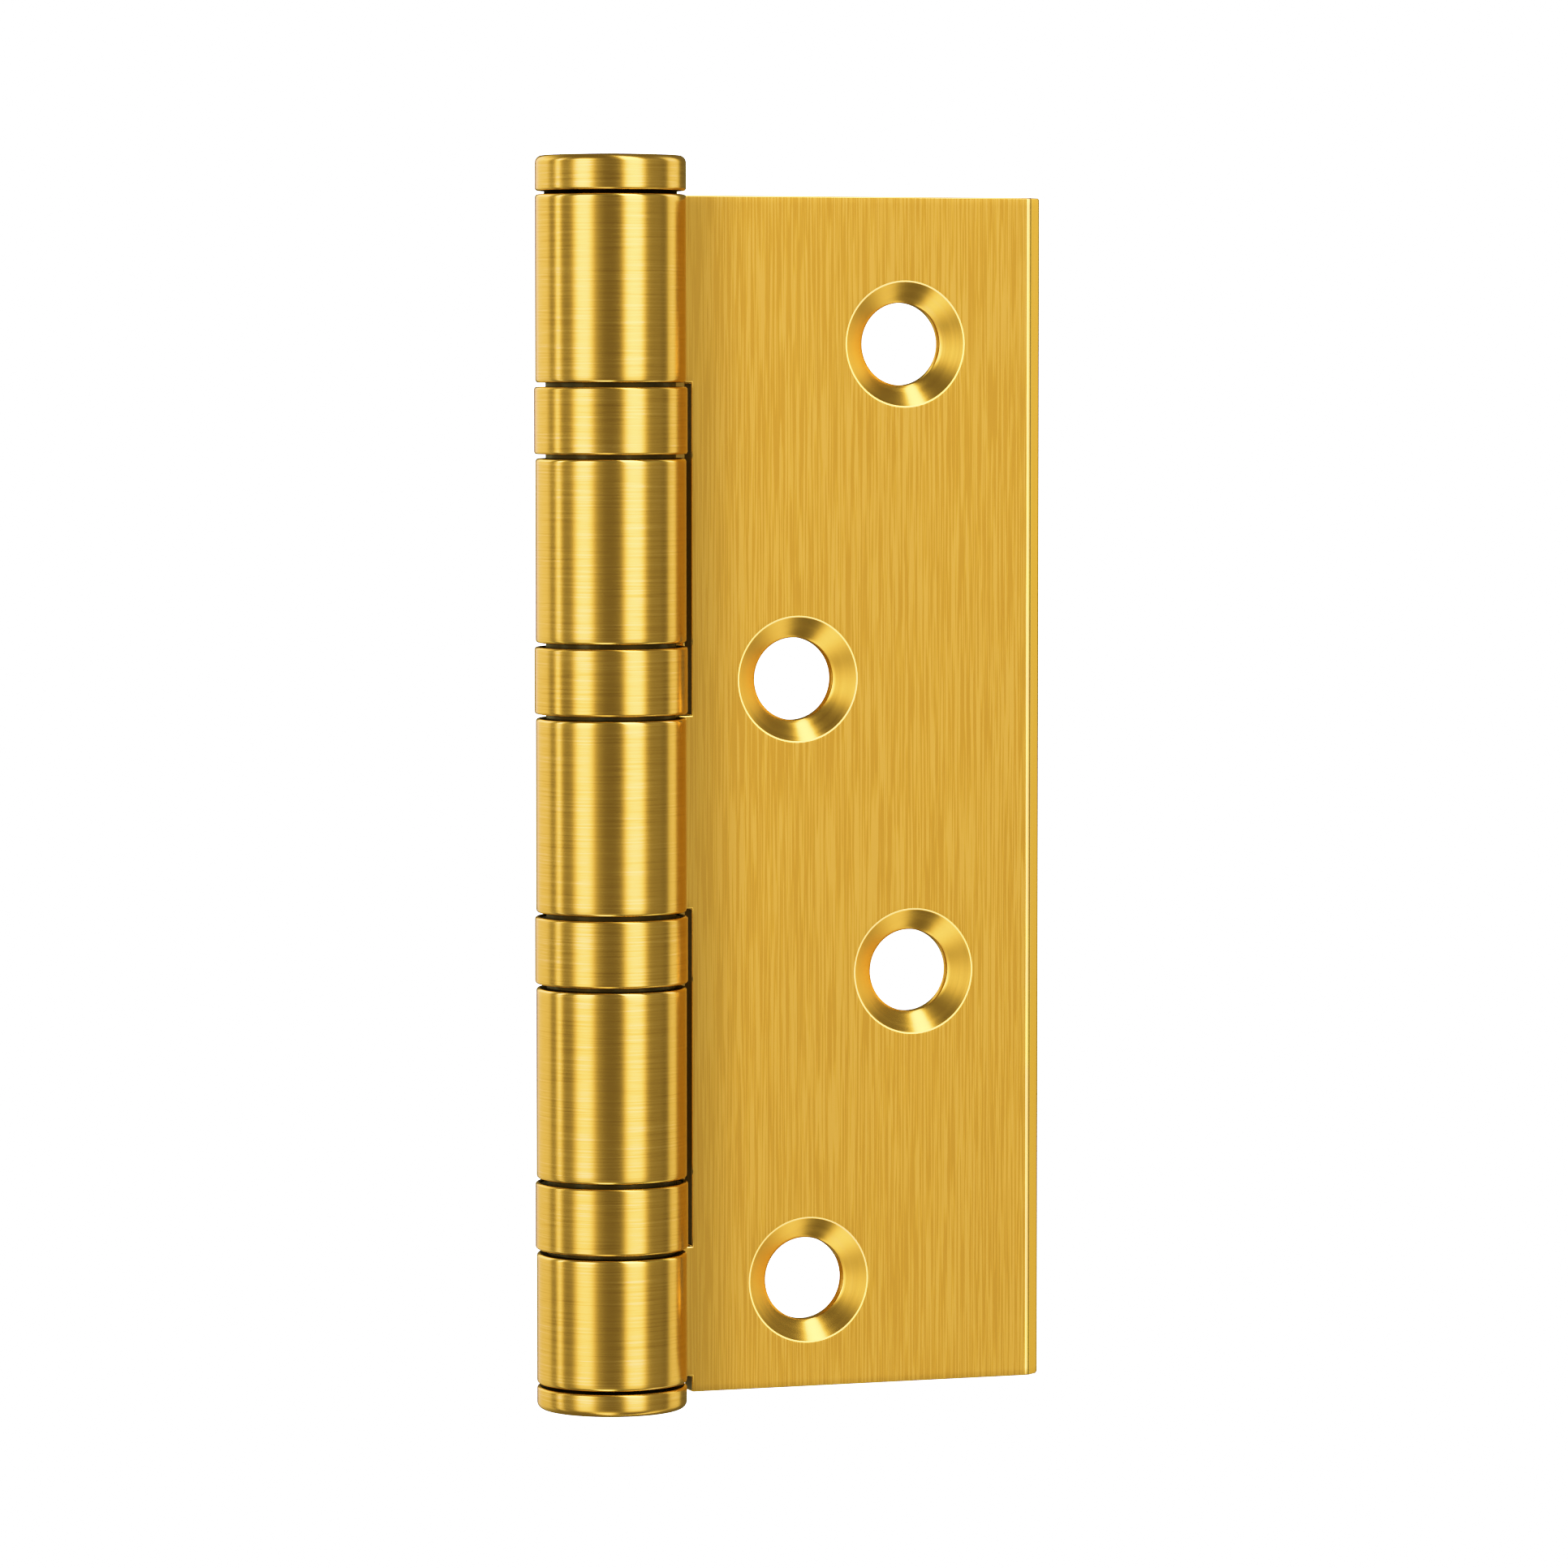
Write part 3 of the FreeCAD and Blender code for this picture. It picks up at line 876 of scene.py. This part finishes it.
# ---- turned pieces ----
@dataclass
class TurnedPiece:
    """A turned sleeve or tip on the pin's axis."""

    node: str
    body: str
    outline: Array  # (radius, height) points in mm, with the metal on their left
    hidden: Array  # which of the outline's points stand inside a groove
    closed: bool  # whether the outline's end joins its start
    barrel: Barrel
    segments: int = 160  # faces round the pin

    def shape(self) -> Shape:
        """Surface of revolution: point (r cos a, r sin a, h) for outline point (r, h) and angle a.

        The grain runs round the pin, so its third length is r + h: it changes along the outline
        on a wall and on an end face alike. Where the outline meets the pin's axis, its row of
        points is one point and the faces are triangles. A face between two hidden points has
        the second slot, the painted shade of the grooves.

        Returns:
            The shape.
        """
        rows, segments = len(self.outline), self.segments
        angle = np.arange(segments) * (2 * np.pi / segments)
        r, h = self.outline[:, :1], self.outline[:, 1:]
        points = np.stack([r * np.cos(angle), r * np.sin(angle), np.repeat(h, segments, axis=1)], axis=2)
        points = points.reshape(-1, 3)
        index = np.arange(rows * segments).reshape(rows, segments)
        index = np.where(r == 0, index[:, :1], index)
        upper, dark = np.roll(index, -1, axis=0), self.hidden & np.roll(self.hidden, -1)
        if not self.closed:
            index, upper, dark = index[:-1], upper[:-1], dark[:-1]
        faces = np.stack([index, np.roll(index, -1, axis=1), np.roll(upper, -1, axis=1), upper], axis=2)
        faces = faces.reshape(-1, 4)
        along = points.copy()
        along[:, 2] += np.hypot(points[:, 0], points[:, 1])
        return Shape(points, faces, np.repeat(dark.astype(int), segments), along[faces])

    def build(self, materials: list[Material], slot: str) -> Piece:
        """Make the piece, with one finish outside and painted shade in the grooves, and put it on its body."""
        piece = self.shape().build(self.node + "_turned", Place(self.barrel.pin), materials)
        return mount(piece, self.body, self.node)


@dataclass
class BearingShell:
    """Outer sleeve of one thrust bearing, with round rims."""

    number: int
    barrel: Barrel
    wall: float = 0.4
    rim: float = 0.22
    inner_rim: float = 0.05

    def piece(self, body: str) -> TurnedPiece:
        """The sleeve, ready to build on its body."""
        node = f"bearing_{self.number}_shell"
        low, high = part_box(node)
        outer = (high.x - low.x) / 2 / MM
        inner = outer - self.wall
        bottom, top = self.barrel.shells[self.number - 1]
        middle = (bottom + top) / 2
        corners = [
            (inner, middle, 0.0), (inner, bottom, self.inner_rim), (outer, bottom, self.rim),
            (outer, top, self.rim), (inner, top, self.inner_rim), (inner, middle, 0.0),
        ]
        outline = rounded(corners, 6)[:-1]
        hidden = outline[:, 0] < outer - self.rim + 0.01
        return TurnedPiece(node, body, outline, hidden, True, self.barrel)


@dataclass
class ButtonTip:
    """Button tip: a spigot in the knuckle, a neck that shows as a groove, and a round-rimmed head."""

    node: str
    barrel: Barrel
    seat: float  # height of the knuckle's end
    side: int  # +1 at the top, -1 at the bottom
    groove: float
    spigot: float = 3.0
    neck_r: float = 5.5
    inner_rim: float = 0.22
    rim: float = 0.6
    dish: float = 0.12  # how far the end face is crowned

    def piece(self) -> TurnedPiece:
        """The tip, ready to build; both tips ride with the fixed leaf."""
        low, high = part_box(self.node)
        end = (high.z if self.side > 0 else low.z) / MM
        radius = self.barrel.radius_mm
        bore = radius - 2.0
        seat, side = self.seat, self.side
        foot = seat - side * self.spigot
        corners = [
            (0.0, foot, 0.0), (bore, foot, 0.3), (bore, seat, 0.0), (self.neck_r, seat, 0.0),
            (self.neck_r, seat + side * self.groove, 0.0),
            (radius, seat + side * self.groove, self.inner_rim),
            (radius, end - side * self.dish, self.rim), (radius * 0.45, end, 4.0), (0.0, end, 0.0),
        ]
        outline = rounded(corners, 8)
        if side < 0:
            outline = outline[::-1]
        hidden = (outline[:, 0] < radius - self.inner_rim + 0.01) & (
            (outline[:, 1] - seat) * side < self.groove + 0.01)
        return TurnedPiece(self.node, "frame_side", outline, hidden, False, self.barrel)


# ---- stage ----
WHITE = 2.5  # scene brightness that is shown as plain white
SHOULDER = ((0.5, 0.5), (0.7, 0.69), (1.0, 0.885), (1.25, 0.955), (1.6, 0.985))  # (light, shown)
# Blues are deepened, so that the gold's highlights stay yellow.
BLUE_TONE = ((0.054, 0.026), (0.09, 0.0415), (0.112, 0.0555), (0.1415, 0.081), (0.1695, 0.121),
             (0.2012, 0.185), (0.225, 0.255), (0.29, 0.34), (0.386, 0.415), (0.8, 0.81))


@dataclass(frozen=True)
class Panel:
    """One soft panel of the light tent, between two bearings and two heights."""

    left: float
    right: float
    level: float
    soft: float = 8.0  # width of each soft edge, degrees
    low: float = -0.55  # sines of the heights at its soft lower and upper edges
    high: float = 0.55
    rise: float = 1.1  # how much brighter it is straight above than level with the hinge


@dataclass(frozen=True)
class Studio:
    """Camera, pale floor and light tent round the hinge.

    Bearings are degrees about the hinge, counted to the right of the camera's own bearing.
    """

    target: Vector
    bearing: float = -19.4  # of the camera, from the hinge's front
    height: float = 3.38  # of the camera, degrees above the horizon
    distance: float = 0.6043
    lens: float = 165.9

    def towards(self, bearing: float, height: float) -> Vector:
        """Unit vector from the hinge at a bearing to the right of the camera and a height."""
        a, e = math.radians(self.bearing + bearing), math.radians(height)
        return Vector((math.sin(a) * math.cos(e), -math.cos(a) * math.cos(e), math.sin(e)))

    def camera(self) -> None:
        """Put the camera in place."""
        data = bpy.data.cameras.new("view")
        data.lens = self.lens
        data.clip_start = 0.01
        camera = bpy.data.objects.new("view", data)
        back = self.towards(0.0, self.height)
        camera.location = self.target + back * self.distance
        camera.rotation_mode = "QUATERNION"
        camera.rotation_quaternion = (-back).to_track_quat("-Z", "Y")
        bpy.context.scene.collection.objects.link(camera)
        bpy.context.scene.camera = camera

    def tent(self, panels: list[Panel], ambient: float) -> None:
        """Surround the hinge with soft light, and leave plain white behind it for the camera.

        A direction's bearing is the arc tangent of its parts to the right of and towards the
        camera. Each panel adds its level between its four soft edges.

        Args:
            panels: the panels.
            ambient: level between them.
        """
        g = Graph("studio", tent=True)
        sky = g.node("ShaderNodeTexCoord", {}, {}).outputs["Generated"]
        right, ahead, up = (
            Num(g, g.node("ShaderNodeVectorMath", {"operation": "DOT_PRODUCT"}, {0: sky, 1: axis}).outputs["Value"])
            for axis in (self.towards(90.0, 0.0), self.towards(0.0, 0.0), Vector((0.0, 0.0, 1.0)))
        )
        bearing = right.join("ARCTAN2", right, ahead) * math.degrees(1.0)
        light = 0.0
        for panel in panels:
            band = bearing.window(panel.left, panel.right, panel.soft) * up.window(panel.low, panel.high, 0.5)
            light = band * (up * panel.rise + 1.0) * panel.level + light
        panel_glow = g.node("ShaderNodeBackground", {}, {"Color": (1.0, 0.98, 0.97), "Strength": light})
        room_glow = g.node("ShaderNodeBackground", {}, {"Color": (1.0, 0.88, 0.84), "Strength": ambient})
        felt = g.node("ShaderNodeAddShader", {}, {0: panel_glow.outputs[0], 1: room_glow.outputs[0]})
        seen = g.node("ShaderNodeBackground", {}, {"Color": (1.0, 1.0, 1.0), "Strength": WHITE})
        path = g.node("ShaderNodeLightPath", {}, {})
        mixed = g.node("ShaderNodeMixShader", {}, {
            0: path.outputs["Is Camera Ray"], 1: felt.outputs[0], 2: seen.outputs[0],
        })
        g.node("ShaderNodeOutputWorld", {}, {"Surface": mixed.outputs[0]})
        bpy.context.scene.world = g.owner

    def floor(self, level: float, half: float = 6.0) -> None:
        """A plain pale floor at a level."""
        mesh = bpy.data.meshes.new("floor")
        mesh.from_pydata(
            [(-half, -half, level), (half, -half, level), (half, half, level), (-half, half, level)],
            [], [(0, 1, 2, 3)],
        )
        g = Graph("floor_paper")
        glow = g.node("ShaderNodeEmission", {}, {"Color": (1.0, 1.0, 1.0), "Strength": WHITE})
        g.node("ShaderNodeOutputMaterial", {}, {"Surface": glow.outputs[0]})
        mesh.materials.append(g.owner)
        plane = bpy.data.objects.new("floor", mesh)
        plane.visible_glossy = False
        plane.visible_diffuse = False
        plane.visible_shadow = False
        bpy.context.scene.collection.objects.link(plane)

    def exposure(self) -> None:
        """Plain colours, deep in their yellows, whose highlights roll off to a cream white."""
        view = bpy.context.scene.view_settings
        view.view_transform = "Standard"
        view.use_curve_mapping = True
        curve = view.curve_mapping
        curve.white_level = (WHITE, WHITE, WHITE)
        for light, shown in SHOULDER:
            curve.curves[3].points.new(light / WHITE, shown)
        for light, toned in BLUE_TONE:
            curve.curves[2].points.new(light / WHITE, toned / WHITE)
        curve.update()

    def build(self) -> None:
        """Make the whole stage."""
        self.camera()
        self.tent([
            Panel(-158.0, -106.0, 0.85), Panel(-106.0, -60.0, 0.10), Panel(-91.0, -81.0, 1.45, 4.0),
            Panel(-56.0, -26.0, 1.55, 14.0), Panel(-28.0, -12.0, 0.16, 14.0),
            Panel(22.0, 54.0, 1.6, 12.0, high=1.0), Panel(54.0, 86.0, 0.12), Panel(100.0, 130.0, 0.9),
            Panel(-32.0, 8.0, 1.3, 14.0, low=-1.3, high=-0.55, rise=0.0),
            Panel(74.0, 106.0, 1.1, 14.0, low=-1.3, high=-0.6, rise=0.0),
        ], 0.18)
        self.floor(cad_box[0].z - 0.0002)
        self.exposure()


# ---- the hinge ----
@dataclass
class Hinge:
    """The whole hinge, sub-assembly by sub-assembly."""

    barrel: Barrel

    def opening(self) -> float:
        """Angle between the leaves at rest, in degrees: the swing's way back to shut is its range."""
        swing = next(joint for joint in frame["joints"] if joint["name"] == "leaf_swing")
        return max(abs(limit) for limit in swing["range_deg"])

    def leaves(self) -> None:
        """Build both leaves: the swing leaf is the fixed leaf's mirror image, shut, then opened."""
        finishes = {
            # The sheet's finish paints shade on the leaf beside the knuckles.
            Slot.SHEET: BrushedGold(
                "leaf_brushed_gold", roughness=0.5, fine=12.0, wide=2.2, slow=1.8, scratch_mm=0.075,
                streak_mm=0.26, length_mm=6.0, relief=0.8, lacquer=0.4, depth=0.81, painted_shade_mm=13.0),
            Slot.KNUCKLE: turned_gold("knuckle_brushed_gold"),
            Slot.SINK: BrushedGold(
                "sink_turned_gold", roughness=0.24, fine=0.8, wide=0.4, slow=0.3, scratch_mm=0.07,
                relief=1.0, lacquer=0.4),
            Slot.EDGE: PolishedGold("edge_polished_gold"),
            # Painted shade on the knuckles' ends and the notch's rims.
            Slot.GROOVE: PaintedShadeGold("knuckle_end_painted_shade"),
            Slot.BEVEL: BrushedGold(
                "bevel_brushed_gold", fine=1.0, wide=0.4, slow=0.4, lacquer=0.3, depth=0.92),
        }
        materials = [finishes[slot].material() for slot in Slot]
        pin = self.barrel.pin
        sides = [
            ("fixed_leaf", "frame_side", self.barrel.knuckles[0::2], Place(pin)),
            ("swing_leaf", "door_side", self.barrel.knuckles[1::2], Place(pin, True, -self.opening())),
        ]
        for node, body, knuckles, place in sides:
            piece = CurledLeaf(node, body, self.barrel, knuckles, place).build(materials, "leaf_gold")
            log.info("%s: %d faces, rides on %s", piece.name, len(piece.data.polygons), body)

    def shells(self) -> None:
        """Build the four bearing shells; each rides with the knuckle below it."""
        # The second finish is painted shade in the grooves.
        materials = [turned_gold("ring_turned_gold").material(), PaintedShadeGold("ring_groove_painted_shade").material()]
        for number in range(1, 5):
            body = "door_side" if number % 2 else "frame_side"
            piece = BearingShell(number, self.barrel).piece(body).build(materials, "ring_gold")
            log.info("%s: rides on %s", piece.name, body)

    def tips(self) -> None:
        """Build both button tips."""
        # The second finish is painted shade in the grooves.
        materials = [turned_gold("tip_turned_gold").material(), PaintedShadeGold("tip_groove_painted_shade").material()]
        for tip in (ButtonTip("top_tip", self.barrel, seat=self.barrel.knuckles[0][1], side=1, groove=0.28),
                    ButtonTip("bottom_tip", self.barrel, seat=self.barrel.knuckles[-1][0], side=-1, groove=0.24)):
            piece = tip.piece().build(materials, "tip_gold")
            log.info("%s: rides on frame_side", piece.name)

    def inside(self) -> None:
        """Give the pin, races, balls and cages their finishes; their shapes stay the frame's."""
        grease = (0.10, 0.065, 0.03)
        finishes = {
            "pin": InnerMetal("pin_ground_steel", (0.62, 0.61, 0.60), grease, 0.22, 0.15).material(),
            # The races' near-black steel is painted shade in the grooves beside the shells; grease blotches lie on
            # it.
            "race": InnerMetal("race_greased_steel_painted_shade", (0.10, 0.08, 0.055), grease, 0.4, 0.35).material(),
            "balls": InnerMetal("ball_polished_steel", (0.78, 0.78, 0.80), grease, 0.08, 0.12).material(),
            "cage": InnerMetal("cage_pressed_brass", (0.75, 0.52, 0.22), grease, 0.3, 0.2).material(),
        }
        for node, piece in frame["nodes"].items():
            kind = node.split("_")[-1]
            if kind in finishes:
                piece.data.materials.clear()
                piece.data.materials.append(finishes[kind])
                log.info("%s: %s", node, finishes[kind].name)


def main() -> None:
    """Build the stage and the hinge."""
    barrel = Barrel.read()
    hinge = Hinge(barrel)
    Studio(Vector((barrel.pin.x + 0.01519, barrel.pin.y, 0.00095))).build()
    hinge.leaves()
    hinge.shells()
    hinge.tips()
    hinge.inside()
    bpy.context.view_layer.update()


if __name__ == "__main__":
    main()
